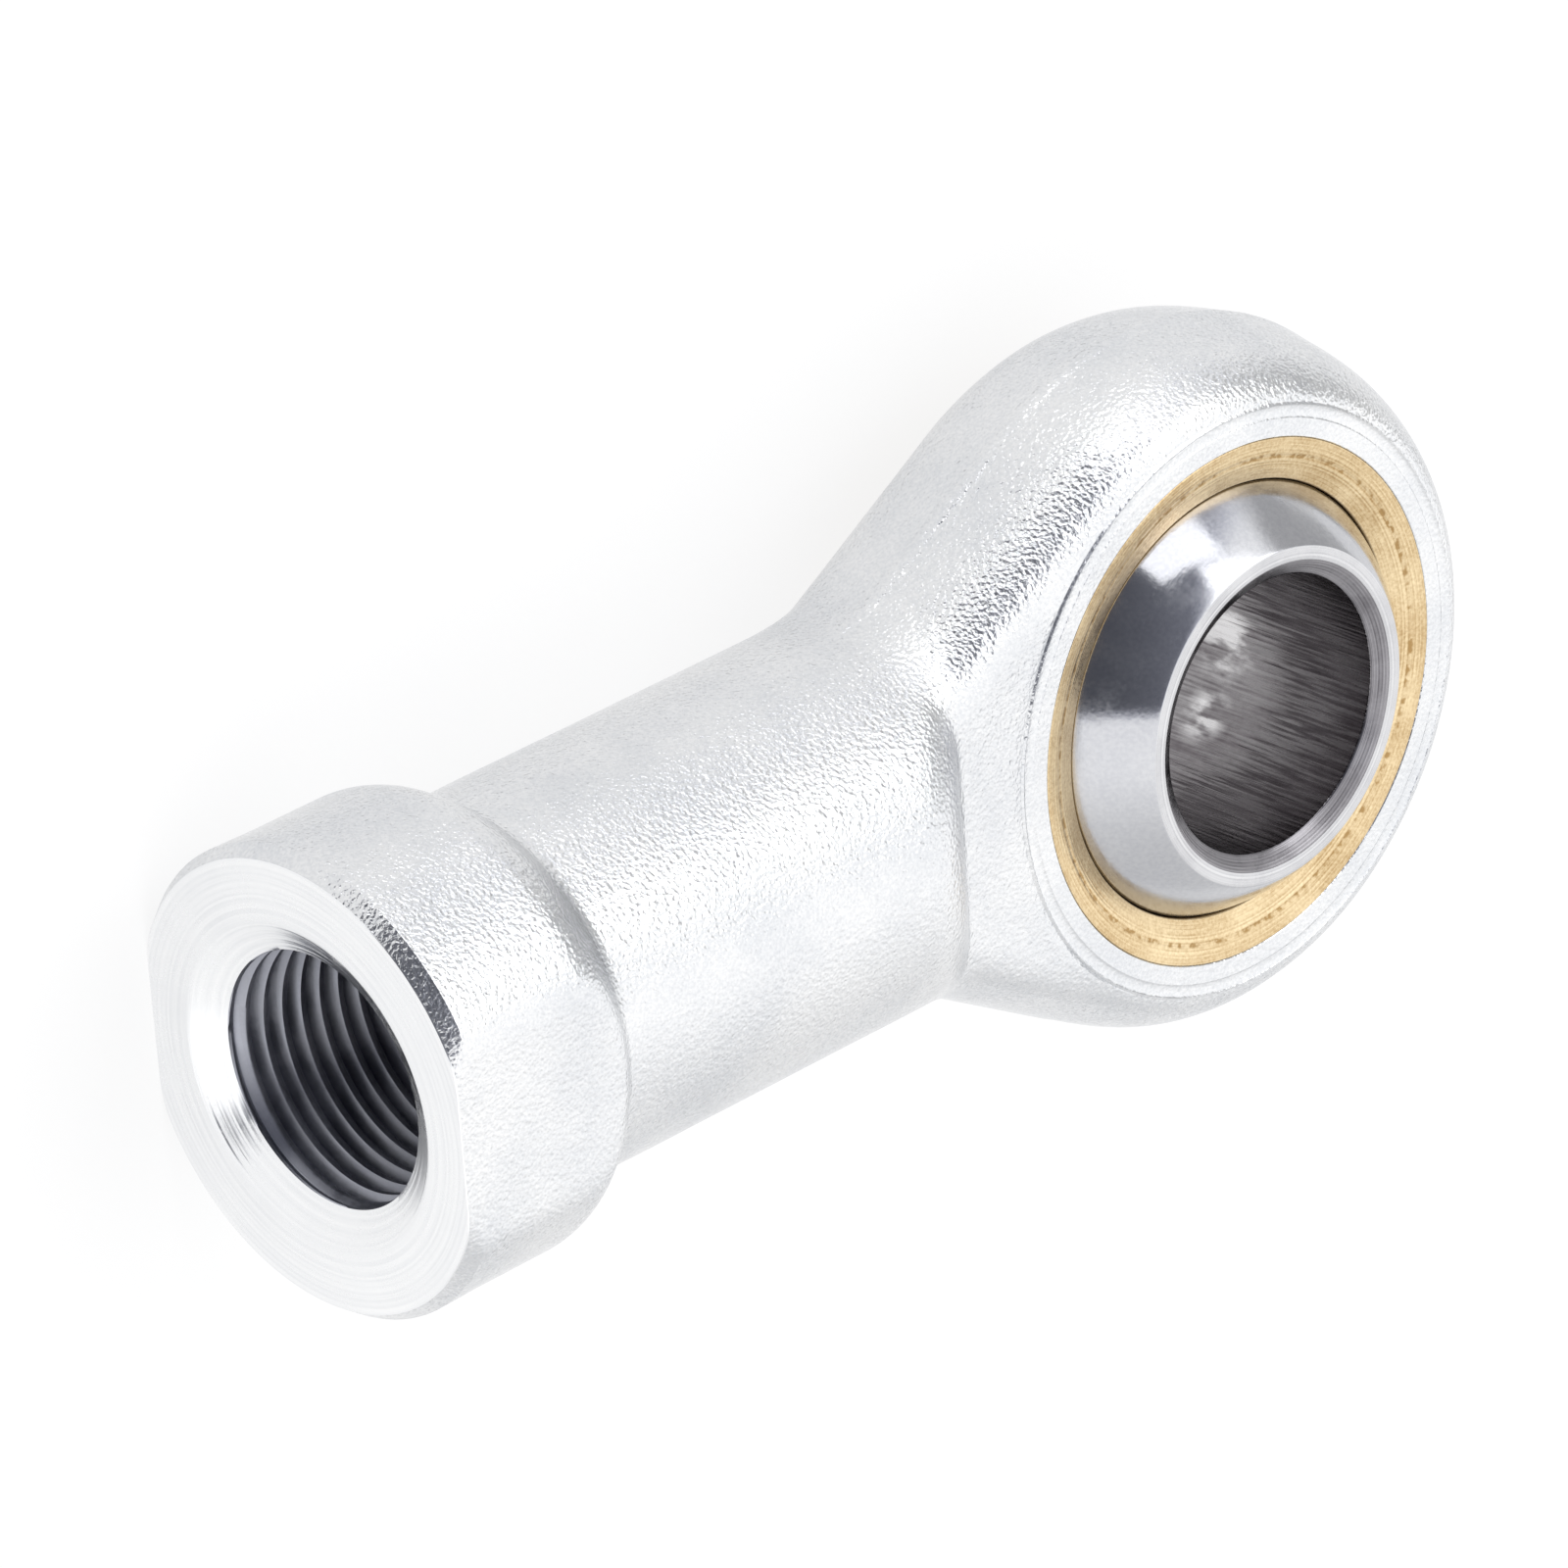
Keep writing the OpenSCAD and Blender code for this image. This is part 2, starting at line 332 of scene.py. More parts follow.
net.sew(rim, FORGED, closed=False)
net.sew(np.concatenate([top_forged[::-1], top_turned[-1:]]), FORGED)
net.sew(np.concatenate([low_turned[-1:], low_forged]), FORGED)
net.sew(top_turned[::-1], FACED)
net.sew(low_turned, FACED)
net.sew(np.concatenate([top_turned[:1], seat, low_turned[:1]]), TURNED)
print("eye sewn from", net.count, "points")

# %% [markdown]
# The shank and the collar are rings about the X axis. The first ring is the seam that the eye's
# grids end in, so its angles set the angles of all. At each angle the ring's point is slid in
# from outside the collar until it meets the field. The rings lie closer where the surface turns.

# %% Rings along the shank and the collar
seam = np.concatenate([
    rim[:, 0],
    top_forged[-1, :RIM_COLUMNS - 1:-1],
    rim[::-1, -1],
    low_forged[-1, RIM_COLUMNS:],
])
seam_points = np.concatenate(net.points)[seam]
angle = np.unwrap(np.arctan2(seam_points[:, 2], seam_points[:, 1]))
EDGE = 0.06
BLEND_X, CREST_X, CHAMFER_X = NECK_X + 9, SHOULDER_X + 6.5, END_X - END_CHAMFER_LEN
FAR_R = COLLAR_R + 1
SHANK_END, BLEND_GROWTH = SHOULDER_X - 2, 1.4
BLEND_ROWS, SHANK_ROWS, SHOULDER_ROWS, COLLAR_ROWS = 26, 26, 36, 9
ring_x = np.concatenate([
    SEAM_X + (BLEND_X - SEAM_X) * np.linspace(0, 1, BLEND_ROWS + 1)[1:] ** BLEND_GROWTH,
    np.linspace(BLEND_X, SHANK_END, SHANK_ROWS + 1)[1:],
    np.linspace(SHANK_END, CREST_X, SHOULDER_ROWS + 1)[1:],
    np.linspace(CREST_X, CHAMFER_X, COLLAR_ROWS + 1)[1:],
    [CHAMFER_X + EDGE, CHAMFER_X + END_CHAMFER_LEN / 2, END_X - EDGE],
])[:, None]
outward = grid(0, np.cos(angle), np.broadcast_to(np.sin(angle), (len(ring_x), len(angle))))
bar_points = settle(grid(ring_x, 0, 0) + FAR_R * outward, outward)
bar = np.concatenate([seam[None], net.lay(bar_points)])
net.sew(bar, FORGED)
print(len(angle), "points in each of", len(bar), "rings")

# %% [markdown]
# The end is faced on a lathe, countersunk and tapped. The thread is a profile carried along a
# helix: the rows of its grid climb by one pitch in each turn, so the crests run along the rows
# and stay crisp with only six rows a turn. A row that climbs out of the threaded stretch ends on
# the ring that bounds it. The last turns run out to the plain drilled hole, as a tap leaves them.

# %% End face, countersink, thread and drill point
COUNTERSINK_R = 21 / 2
COUNTERSINK_SLOPE, DRILL_SLOPE = np.tan(np.radians([60, 59]))
PITCH, ROOT_R, THREAD_LEN = 1.5, 18.08 / 2, 31.0
THREAD_SHAPE = np.array([[0, 0.06], [0.125, 0], [0.25, 0.06], [0.5625, 1], [0.6875, 1], [0.84, 0.5]])
HOLE_END = MOUNTS["rod_thread"]["length_mm"]

outline = np.linalg.norm(bar_points[-1, :, 1:], axis=1)


def turned_ring(x, radius):
    """Points at the shank's angles, at each distance x along it and each radius."""
    return grid(x, radius * np.cos(angle), radius * np.sin(angle))


share = np.linspace(0, 1, 8)[:, None]
face_rows = turned_ring(END_X, (outline - EDGE) * (1 - share) + (COUNTERSINK_R + EDGE) * share)
cone_r = np.linspace(COUNTERSINK_R - EDGE, CORE_R + EDGE, 9)[:, None]
thread_top = END_X - (COUNTERSINK_R - CORE_R - EDGE) / COUNTERSINK_SLOPE
cone_rows = turned_ring(END_X - (COUNTERSINK_R - cone_r) / COUNTERSINK_SLOPE, cone_r)
face = net.lay(face_rows)
cone = net.lay(cone_rows)
net.sew(np.concatenate([bar[-1:], face, cone[:1]]), TURNED)
net.sew(cone, TURNED)

hole_bottom = END_X - (COUNTERSINK_R - CORE_R) / COUNTERSINK_SLOPE - HOLE_END
thread_end = END_X - THREAD_LEN
drill_r = CORE_R * np.array([1, 0.97, 0.7, 0.35, 0.02])[:, None]
drill = net.lay(turned_ring(hole_bottom - (CORE_R - drill_r) / DRILL_SLOPE, drill_r))
drill_tip = net.lay(np.array([[hole_bottom - CORE_R / DRILL_SLOPE, 0.0, 0.0]]))
run_out = net.lay(turned_ring(thread_end, np.full_like(angle, CORE_R))[None])[0]
net.sew(np.stack([run_out, drill[0]]), THREADED)
net.sew(np.concatenate([drill, np.broadcast_to(drill_tip, (1, len(angle)))]), THREADED)

ROWS_A_TURN = len(THREAD_SHAPE)
turns = int(np.ceil((thread_top - thread_end) / PITCH)) + 4
row_x = thread_top - PITCH * (np.arange(turns)[:, None] + 1 - THREAD_SHAPE[::-1, 0]).ravel()
row_depth = np.tile(THREAD_SHAPE[::-1, 1], turns)
climb = PITCH * (angle - angle[0]) / (2 * np.pi)
thread_x = row_x[:, None] + 2 * PITCH + climb
fade = ease(thread_end, thread_end + 2 * PITCH, thread_x) * ease(0, PITCH, thread_top - thread_x)
thread_r = CORE_R + (ROOT_R - CORE_R) * row_depth[:, None] * fade
above, below = thread_x > thread_top - EDGE / 2, thread_x < thread_end + EDGE / 2
inside = ~(above | below)
thread = np.where(above, cone[-1], run_out)
thread[inside] = net.lay(turned_ring(thread_x, thread_r)[inside])
next_turn = thread[:-ROWS_A_TURN, :1]
net.sew(np.concatenate([thread[ROWS_A_TURN:], next_turn], 1), THREADED, closed=False)
print(turns, "turns of thread from", round(thread_end, 1), "to", round(thread_top, 2), "mm")

# %% [markdown]
# The finishes share three effects, each a node group that is built once. Blasting leaves a fine
# grain of small dents, which breaks the edge of every reflection into specks. A lathe leaves
# rings, which depend only on the distance from the axis. Handling leaves faint clouds. A group
# gives out heights and tones only, and each finish decides what to do with them.

# %% Helpers for nodes
def put(tree, kind, wires=(), **settings):
    """Adds a node. Settings are its properties; a wire is an input with a plain value or an output."""
    made = tree.nodes.new(kind)
    for key, value in settings.items():
        setattr(made, key, value)
    for socket, value in wires:
        if isinstance(value, bpy.types.NodeSocket):
            tree.links.new(value, made.inputs[socket])
        else:
            made.inputs[socket].default_value = value
    return made


def sums(tree, operation, *values):
    """The output of one step of arithmetic."""
    return put(tree, "ShaderNodeMath", enumerate(values), operation=operation).outputs[0]


def spread(tree, value, low, high, to_low, to_high, kind="SMOOTHSTEP"):
    """Carries the range from low to high over to another range, and holds it at the ends."""
    wires = enumerate([value, low, high, to_low, to_high])
    return put(tree, "ShaderNodeMapRange", wires, interpolation_type=kind).outputs[0]


def effect_group(name, inputs):
    """An empty group with a Vector input, named number inputs and the outputs Height and Tone."""
    group = bpy.data.node_groups.new(name, "ShaderNodeTree")
    group.interface.new_socket("Vector", in_out="INPUT", socket_type="NodeSocketVector")
    for socket in inputs:
        group.interface.new_socket(socket, in_out="INPUT", socket_type="NodeSocketFloat")
    for socket in ("Height", "Tone"):
        group.interface.new_socket(socket, in_out="OUTPUT", socket_type="NodeSocketFloat")
    return group, group.nodes.new("NodeGroupInput").outputs, group.nodes.new("NodeGroupOutput").inputs


# %% The blasted grain
def noise(tree, vector, scale, detail, **more):
    """The grey output of one noise texture."""
    wires = [("Vector", vector), ("Scale", scale), ("Detail", detail)]
    return put(tree, "ShaderNodeTexNoise", wires, **more).outputs["Fac"]


def blasted_grain():
    """Height: noise of the grain's size over cell-shaped dents. Tone: specks a little smaller."""
    group, given, out = effect_group("blasted_grain", ["Grains"])
    vector, grains = given["Vector"], given["Grains"]
    dents = put(group, "ShaderNodeTexVoronoi", [("Vector", vector), ("Scale", grains)])
    fine = noise(group, vector, grains, 2.0)
    specks = noise(group, vector, sums(group, "MULTIPLY", grains, 1.4), 2.0)
    group.links.new(sums(group, "MULTIPLY_ADD", dents.outputs["Distance"], 0.5, fine), out["Height"])
    group.links.new(spread(group, specks, 0.3, 0.7, 0.0, 1.0), out["Tone"])
    return group


# %% The turned rings
def turned_rings():
    """Height: noise along the distance from the axis, cut unevenly. Tone: where it is cut deeper."""
    group, given, out = effect_group("turned_rings", ["Rings"])
    vector = given["Vector"]
    radius = put(group, "ShaderNodeVectorMath", [(0, vector)], operation="LENGTH").outputs["Value"]
    along = [("W", sums(group, "MULTIPLY", radius, given["Rings"])), ("Scale", 1.0), ("Detail", 3.0)]
    rings = put(group, "ShaderNodeTexNoise", along, noise_dimensions="1D").outputs["Fac"]
    cut = spread(group, noise(group, vector, 260.0, 3.0), 0.35, 0.65, 0.3, 1.0)
    height = sums(group, "MULTIPLY_ADD", sums(group, "SUBTRACT", rings, 0.5), cut, 0.5)
    group.links.new(height, out["Height"])
    group.links.new(spread(group, height, 0.3, 0.7, 0.0, 1.0), out["Tone"])
    return group


# %% The clouds that handling leaves
def handling_clouds():
    """Tone: two sizes of slow noise. Height: their finer part."""
    group, given, out = effect_group("handling_clouds", ["Clouds"])
    vector, clouds = given["Vector"], given["Clouds"]
    broad = noise(group, vector, clouds, 5.0)
    fine = noise(group, vector, sums(group, "MULTIPLY", clouds, 14.0), 2.0)
    tone = sums(group, "MULTIPLY_ADD", fine, 0.25, broad)
    group.links.new(spread(group, tone, 0.4, 0.85, 0.0, 1.0), out["Tone"])
    group.links.new(fine, out["Height"])
    return group


EFFECTS = {"grain": blasted_grain(), "rings": turned_rings(), "clouds": handling_clouds()}
print("effects:", ", ".join(EFFECTS))

# %% [markdown]
# A finish is a metal with two colours, a range of roughness and a list of heights. Every metal
# here is built by the same function, so that the finishes differ only in what feeds it.

# %% Helpers for finishes
def colour(*rgb):
    """A colour with full alpha."""
    return (*rgb, 1.0)


class Finish:
    """One metal. Tones mix its two colours, tones also set its roughness, heights become its bump."""

    def __init__(self, name):
        self.material = bpy.data.materials.new(name)
        self.material.use_nodes = True
        self.tree = self.material.node_tree
        self.metal = self.tree.nodes["Principled BSDF"]
        self.metal.inputs["Metallic"].default_value = 1.0
        self.place = put(self.tree, "ShaderNodeTexCoord").outputs["Object"]
        self.normal = None

    def stretched(self, x, y, z):
        """Object coordinates with each axis stretched, or dropped by a zero."""
        return put(self.tree, "ShaderNodeMapping", [("Vector", self.place), ("Scale", (x, y, z))]).outputs[0]

    def effect(self, kind, vector, amount):
        """The outputs of one shared effect."""
        group = put(self.tree, "ShaderNodeGroup", node_tree=EFFECTS[kind])
        self.tree.links.new(vector, group.inputs["Vector"])
        group.inputs[1].default_value = amount
        return group.outputs

    def blend(self, fine, slow, share):
        """A tone made of a share of a fine one and the rest of a slow one."""
        rest = sums(self.tree, "MULTIPLY", slow, 1 - share)
        return sums(self.tree, "MULTIPLY_ADD", fine, share, rest)

    def tint(self, tone, dark, light):
        """Base colour between two colours by a tone."""
        mixed = put(self.tree, "ShaderNodeMix", [("Factor", tone)], data_type="RGBA")
        mixed.inputs["A"].default_value, mixed.inputs["B"].default_value = dark, light
        self.tree.links.new(mixed.outputs["Result"], self.metal.inputs["Base Color"])

    def polish(self, tone, low, high):
        """Roughness between two values by a tone."""
        self.tree.links.new(spread(self.tree, tone, 0.25, 0.75, low, high), self.metal.inputs["Roughness"])

    def dent(self, height, depth_mm, strength=1.0):
        """Adds one more height to the bump."""
        wires = [("Height", height), ("Distance", depth_mm * MM), ("Strength", strength)]
        bump = put(self.tree, "ShaderNodeBump", wires)
        if self.normal is not None:
            self.tree.links.new(self.normal, bump.inputs["Normal"])
        self.normal = bump.outputs["Normal"]
        self.tree.links.new(self.normal, self.metal.inputs["Normal"])


# %% [markdown]
# Zinc plate on a blasted forging is pale, a little blue, and sparkles: each dent is a tiny mirror.
# The ring round the brass was pressed flat before it was plated, so its dents are shallower, and
# the faced end shows lathe marks instead. Down in the thread little plating forms, and the steel
# is darker.

# %% Zinc finishes
def blasted_zinc(name, depth_mm):
    """Pale, slightly blue zinc over blasted grain of a depth, with specks and slow clouds in its colour."""
    finish = Finish(name)
    grain = finish.effect("grain", finish.place, 3300.0)
    clouds = finish.effect("clouds", finish.place, 120.0)
    tone = finish.blend(grain["Tone"], clouds["Tone"], 0.4)
    finish.tint(tone, colour(0.62, 0.635, 0.66), colour(0.78, 0.782, 0.786))
    finish.polish(grain["Tone"], 0.26, 0.17)
    finish.dent(grain["Height"], depth_mm)
    return finish.material


def turned_zinc():
    """Bright zinc over lathe marks about the shank's axis."""
    finish = Finish("turned_zinc")
    rings = finish.effect("rings", finish.stretched(0, 1, 1), 3000.0)
    clouds = finish.effect("clouds", finish.place, 160.0)
    tone = finish.blend(rings["Tone"], clouds["Tone"], 0.6)
    finish.tint(tone, colour(0.82, 0.83, 0.845), colour(0.94, 0.943, 0.946))
    finish.polish(clouds["Tone"], 0.18, 0.3)
    finish.dent(rings["Height"], 0.05)
    return finish.material


def thread_steel():
    """Grey steel with a trace of cutting oil, and fine marks along the turns."""
    finish = Finish("thread_steel")
    marks = finish.effect("rings", finish.stretched(1, 0, 0), 9000.0)
    clouds = finish.effect("clouds", finish.place, 300.0)
    finish.tint(clouds["Tone"], colour(0.36, 0.37, 0.42), colour(0.50, 0.51, 0.56))
    finish.polish(clouds["Tone"], 0.36, 0.48)
    finish.dent(marks["Height"], 0.006)
    return finish.material


# %% [markdown]
# The race is brass, turned and then swaged, so its face has rings, a few dull patches and the
# dotted line of the swaging tool. In the gap beside the ball it is painted dark, as the shade of
# the crevice. The ball is ground bearing steel, close to a mirror, with turned faces and chamfers;
# the chamfers are painted dark as shade. Its bore was honed along the axis and is darker, with two
# bright patches that are painted reflections.

# %% Brass and steel finishes
SWAGE_R, SWAGE_SHARP_W, SWAGE_SOFT_W = 15.75, 0.08, 0.24
# Places and reaches of two painted reflections on the bore's wall.
REFLECTION_SPOTS = [((-8.8, 1.8, -1.6), 3.6), ((-6.4, 6.3, -1.4), 2.4)]


def swage_line(finish):
    """A dotted dark line where the swaging tool's edge pressed, as a share between 0 and 1."""
    tree = finish.tree
    wires = [(0, finish.stretched(1, 1, 0))]
    radius = put(tree, "ShaderNodeVectorMath", wires, operation="LENGTH").outputs["Value"]
    away = sums(tree, "ABSOLUTE", sums(tree, "SUBTRACT", radius, SWAGE_R * MM))
    line = spread(tree, away, SWAGE_SHARP_W * MM, SWAGE_SOFT_W * MM, 1.0, 0.0)
    dots = spread(tree, noise(tree, finish.place, 1500.0, 2.0), 0.45, 0.65, 0.0, 0.55)
    return sums(tree, "MULTIPLY", line, dots)


def swaged_brass():
    """Satin yellow brass with turned rings, small pits and slow dull patches."""
    finish = Finish("swaged_brass")
    rings = finish.effect("rings", finish.stretched(1, 1, 0), 5200.0)
    grain = finish.effect("grain", finish.place, 3600.0)
    clouds = finish.effect("clouds", finish.place, 220.0)
    tone = finish.blend(rings["Tone"], finish.blend(grain["Tone"], clouds["Tone"], 0.4), 0.4)
    tone = sums(finish.tree, "SUBTRACT", tone, swage_line(finish))
    finish.tint(tone, colour(0.38, 0.24, 0.10), colour(0.92, 0.765, 0.50))
    finish.polish(clouds["Tone"], 0.2, 0.34)
    finish.dent(rings["Height"], 0.02)
    finish.dent(grain["Height"], 0.008)
    return finish.material


def oiled_brass():
    """Dark brass as painted shade, down in the crevice beside the ball."""
    finish = Finish("oiled_brass")
    clouds = finish.effect("clouds", finish.place, 300.0)
    # Both colours are dark: painted shade of the crevice beside the ball.
    finish.tint(clouds["Tone"], colour(0.13, 0.08, 0.035), colour(0.36, 0.235, 0.10))
    finish.polish(clouds["Tone"], 0.3, 0.45)
    finish.dent(clouds["Height"], 0.01)
    return finish.material


def polished_steel():
    """Bright, slightly blue steel with a haze of polishing marks round the ball."""
    finish = Finish("polished_steel")
    marks = finish.effect("rings", finish.stretched(0, 0, 1), 9000.0)
    clouds = finish.effect("clouds", finish.place, 240.0)
    specks = finish.effect("grain", finish.place, 2600.0)
    tone = finish.blend(specks["Tone"], clouds["Tone"], 0.5)
    finish.tint(tone, colour(0.495, 0.50, 0.53), colour(0.58, 0.585, 0.605))
    finish.polish(clouds["Tone"], 0.12, 0.2)
    finish.dent(specks["Height"], 0.003)
    finish.dent(marks["Height"], 0.0015)
    return finish.material


def turned_steel(name, dark, light):
    """Steel with lathe marks, between two colours: bright on the ball's faces, and dark on the chamfers as
    painted shade.
    """
    finish = Finish(name)
    rings = finish.effect("rings", finish.stretched(1, 1, 0), 7000.0)
    clouds = finish.effect("clouds", finish.place, 300.0)
    tone = finish.blend(rings["Tone"], clouds["Tone"], 0.6)
    finish.tint(tone, dark, light)
    finish.polish(clouds["Tone"], 0.18, 0.28)
    finish.dent(rings["Height"], 0.02)
    return finish.material


def painted_reflection_patches(finish):
    """Two bright crackled patches on the bore's wall, painted reflections, as a share between 0 and 1."""
    tree = finish.tree
    crackle = spread(tree, noise(tree, finish.stretched(1, 1, 0.4), 900.0, 4.0), 0.4, 0.62, 0.0, 1.0)
    nearest = 1.0
    for place, reach in REFLECTION_SPOTS:
        wires = [(0, finish.place), (1, tuple(np.array(place) * MM))]
        away = put(tree, "ShaderNodeVectorMath", wires, operation="DISTANCE").outputs["Value"]
        nearest = sums(tree, "MINIMUM", nearest, sums(tree, "DIVIDE", away, reach * MM))
    return sums(tree, "MULTIPLY", crackle, spread(tree, nearest, 0.2, 1.0, 1.0, 0.0))


def honed_bore():
    """Darker, warmer steel with streaks along the bore's axis and two bright patches of painted reflection.
    """
    finish = Finish("honed_bore")
    streaks = finish.effect("grain", finish.stretched(1, 1, 0.05), 3400.0)
    clouds = finish.effect("clouds", finish.place, 200.0)
    tone = finish.blend(streaks["Tone"], clouds["Tone"], 0.65)
    # The patches brighten the tone as painted reflections.
    tone = sums(finish.tree, "MULTIPLY_ADD", tone, 0.45, painted_reflection_patches(finish))
    finish.tint(tone, colour(0.13, 0.115, 0.125), colour(0.80, 0.79, 0.80))
    finish.polish(streaks["Tone"], 0.14, 0.28)
    finish.dent(streaks["Height"], 0.05)
    return finish.material


# %% [markdown]
# The body's net becomes one closed piece with four finishes. It stands for the forged solid and
# rides on the same body.

# %% The body
FORGED_DENT, FACED_DENT = 0.08, 0.045
forged_zinc = blasted_zinc("blasted_zinc", FORGED_DENT)
faced_zinc = blasted_zinc("faced_zinc", FACED_DENT)
body = net.mesh("forged_body", [forged_zinc, turned_zinc(), thread_steel(), faced_zinc], 32)
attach(body, "body")
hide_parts("rod_end_body")

# %% [markdown]
# Race and ball are turned parts: a closed section of radius and height, carried round the bore's
# axis. Their corners are broken by small curves, because a knife edge would catch no light.

# %% Sections turned about the bore's axis
TURNED_COLUMNS = 288


def broken_corners(corners, sizes, steps=5):
    """A closed section with each corner replaced by a parabola that starts and ends a given size from
    it, along its two sides. A size of zero keeps the point."""
    corners, sizes = np.array(corners, float), np.array(sizes, float)[:, None]
    before, after = np.roll(corners, 1, 0) - corners, np.roll(corners, -1, 0) - corners
    start = corners + sizes * before / np.linalg.norm(before, axis=1, keepdims=True)
    end = corners + sizes * after / np.linalg.norm(after, axis=1, keepdims=True)
    t = np.linspace(0, 1, steps)[:, None, None]
    curve = (1 - t) ** 2 * start + 2 * t * (1 - t) * corners + t ** 2 * end
    points = np.moveaxis(curve, 0, 1).reshape(-1, 2)
    moved = np.linalg.norm(points - np.roll(points, 1, 0), axis=1) > 1e-6
    return points[moved]


def turned_piece(name, section, finish_of, materials, sharp_degrees):
    """The section's points times the cosine and sine of each column's angle, as a closed ring."""
    spin = np.linspace(0, 2 * np.pi, TURNED_COLUMNS, endpoint=False)
    r, z = section[:, :1], section[:, 1:]
    ring = Net()
    numbers = ring.lay(grid(r * np.cos(spin), r * np.sin(spin), z))
    numbers = np.concatenate([numbers, numbers[:1]])
    middle = (section + np.roll(section, -1, 0)) / 2
    ring.sew(numbers, finish_of(middle[:, 0], middle[:, 1]))
    return ring.mesh(name, materials, sharp_degrees)


def mirrored(points):
    """A half section of points with z above zero, followed by its mirror image in reverse."""
    return np.concatenate([points, points[::-1] * [1, -1]])


# %% [markdown]
# The race is a brass ring that was closed round the ball and then staked in the eye. Its face is
# dished towards the ball, with the swaging tool's shallow mark half way, and a short bevel leads
# down to the socket. The bevel and the socket take a dark brass colour that is painted shade.

# %% The race
RACE_CLEARANCE, MOUTH_GAP, MOUTH_SLOPE = 0.05, 0.64, np.tan(np.radians(22))
FACE_DISH, DISH_POWER = 0.75, 1.3
# The last width is how far past the socket the painted crevice shade reaches.
MARK_W, MARK_DEPTH, STAKE_GAP, CREVICE_SHADE_W = 0.3, 0.03, 0.05, 0.1
socket_r = BALL_R + RACE_CLEARANCE
mouth_r = np.sqrt(BALL_R ** 2 - HALF_W ** 2) + MOUTH_GAP
mouth_z = HALF_W - FACE_DISH
# The mouth's bevel meets the socket at a depth d where (mouth_r - d slope)^2 + (mouth_z - d)^2 = socket_r^2
square, double = 1 + MOUTH_SLOPE ** 2, -2 * (mouth_r * MOUTH_SLOPE + mouth_z)
bevel = np.roots([square, double, mouth_r ** 2 + mouth_z ** 2 - socket_r ** 2])
lip_z = mouth_z - float(bevel.min())
socket_z = np.linspace(lip_z, 0, 26)[1:-1]


def dished_face(radius, depth):
    """Points of the race's face, which falls by FACE_DISH times the share of its width to the power
    DISH_POWER, less a depth."""
    inward = (face_r - STAKE_GAP - radius) / (face_r - STAKE_GAP - mouth_r)
    return np.stack([radius, HALF_W - FACE_DISH * inward ** DISH_POWER - depth], 1)


race_half = np.concatenate([
    [[SEAT_R - STAKE_GAP, HALF_W - STAKE_LEN]],
    [[face_r - STAKE_GAP, HALF_W]],
    dished_face(SWAGE_R + MARK_W * np.array([1, 0, -1]) / 2, MARK_DEPTH * np.array([0, 1, 0])),
    [[mouth_r, mouth_z]],
    [[np.sqrt(socket_r ** 2 - lip_z ** 2), lip_z]],
    np.stack([np.sqrt(socket_r ** 2 - socket_z ** 2), socket_z], 1),
])
race_sizes = np.array([0, 0.06, 0.1, 0.1, 0.1, 0.06, 0] + [0] * len(socket_z))
race_section = broken_corners(mirrored(race_half), mirrored(np.stack([race_sizes] * 2, 1))[:, 0])


def race_finish(r, z):
    """0 outside, 1 on the mouth's bevel and the socket, which are painted dark as shade."""
    return (np.hypot(r, z) < socket_r + CREVICE_SHADE_W).astype(int)


race = turned_piece("brass_race", race_section, race_finish, [swaged_brass(), oiled_brass()], 40)
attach(race, "body")
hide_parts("race")

# %% [markdown]
# The ball is a sphere with two flat faces and a bore, and each end of the bore has a wide chamfer.
# Its section is an arc, three corners and the bore's wall, so a lathe's way of making it is also
# the short way here.

# %% The ball
BORE_CHAMFER, BORE_CHAMFER_DEPTH, BORE_ROWS_Z = 1.1, 0.65, (8, 4)
BORE_BAND, FACE_BAND, ROUND_BAND = 0.02, 0.03, 0.05
flat_r = np.sqrt(BALL_R ** 2 - BALL_HALF_W ** 2)
round_z = np.linspace(0, BALL_HALF_W, 46)[1:-1]
ball_half = np.concatenate([
    np.stack([np.sqrt(BALL_R ** 2 - round_z ** 2), round_z], 1),
    [[flat_r, BALL_HALF_W], [BORE_R + BORE_CHAMFER, BALL_HALF_W], [BORE_R, BALL_HALF_W - BORE_CHAMFER_DEPTH]],
    [[BORE_R, z] for z in BORE_ROWS_Z],
])
ball_sizes = np.array([0] * len(round_z) + [0.12, 0.1, 0.12, 0, 0])
ball_section = broken_corners(mirrored(ball_half), mirrored(np.stack([ball_sizes] * 2, 1))[:, 0])


def ball_finish(r, z):
    """0 on the sphere, 1 on the flat faces, 2 on the bore's wall, 3 on its chamfers."""
    bored = np.where(r < BORE_R + BORE_BAND, 2, 3)
    faced = np.abs(z) > BALL_HALF_W - FACE_BAND
    return np.where(faced, 1, np.where(np.hypot(r, z) < BALL_R - ROUND_BAND, bored, 0))


faced_steel = turned_steel("faced_steel", colour(0.44, 0.44, 0.46), colour(0.70, 0.70, 0.71))
# The chamfers' dark colours are painted shade in the mouths of the bore.
chamfer_steel = turned_steel("chamfer_steel", colour(0.10, 0.095, 0.105), colour(0.38, 0.37, 0.39))
ball_metals = [polished_steel(), faced_steel, honed_bore(), chamfer_steel]
ball = turned_piece("steel_ball", ball_section, ball_finish, ball_metals, 30)
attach(ball, "ball")
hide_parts("ball")

# %% [markdown]
# The studio is plain. The part lies on a pale floor that looks white to the camera and in
# reflections and still takes a shadow. Polished metal shows nothing but its room, so the room
# matters more than the lamps: a white tent, with a dark opening round the camera that the ball
# mirrors. One soft lamp gives the long highlight on the shank. A second one, low down, lights the
# flank of the eye and is the white spot on the ball.

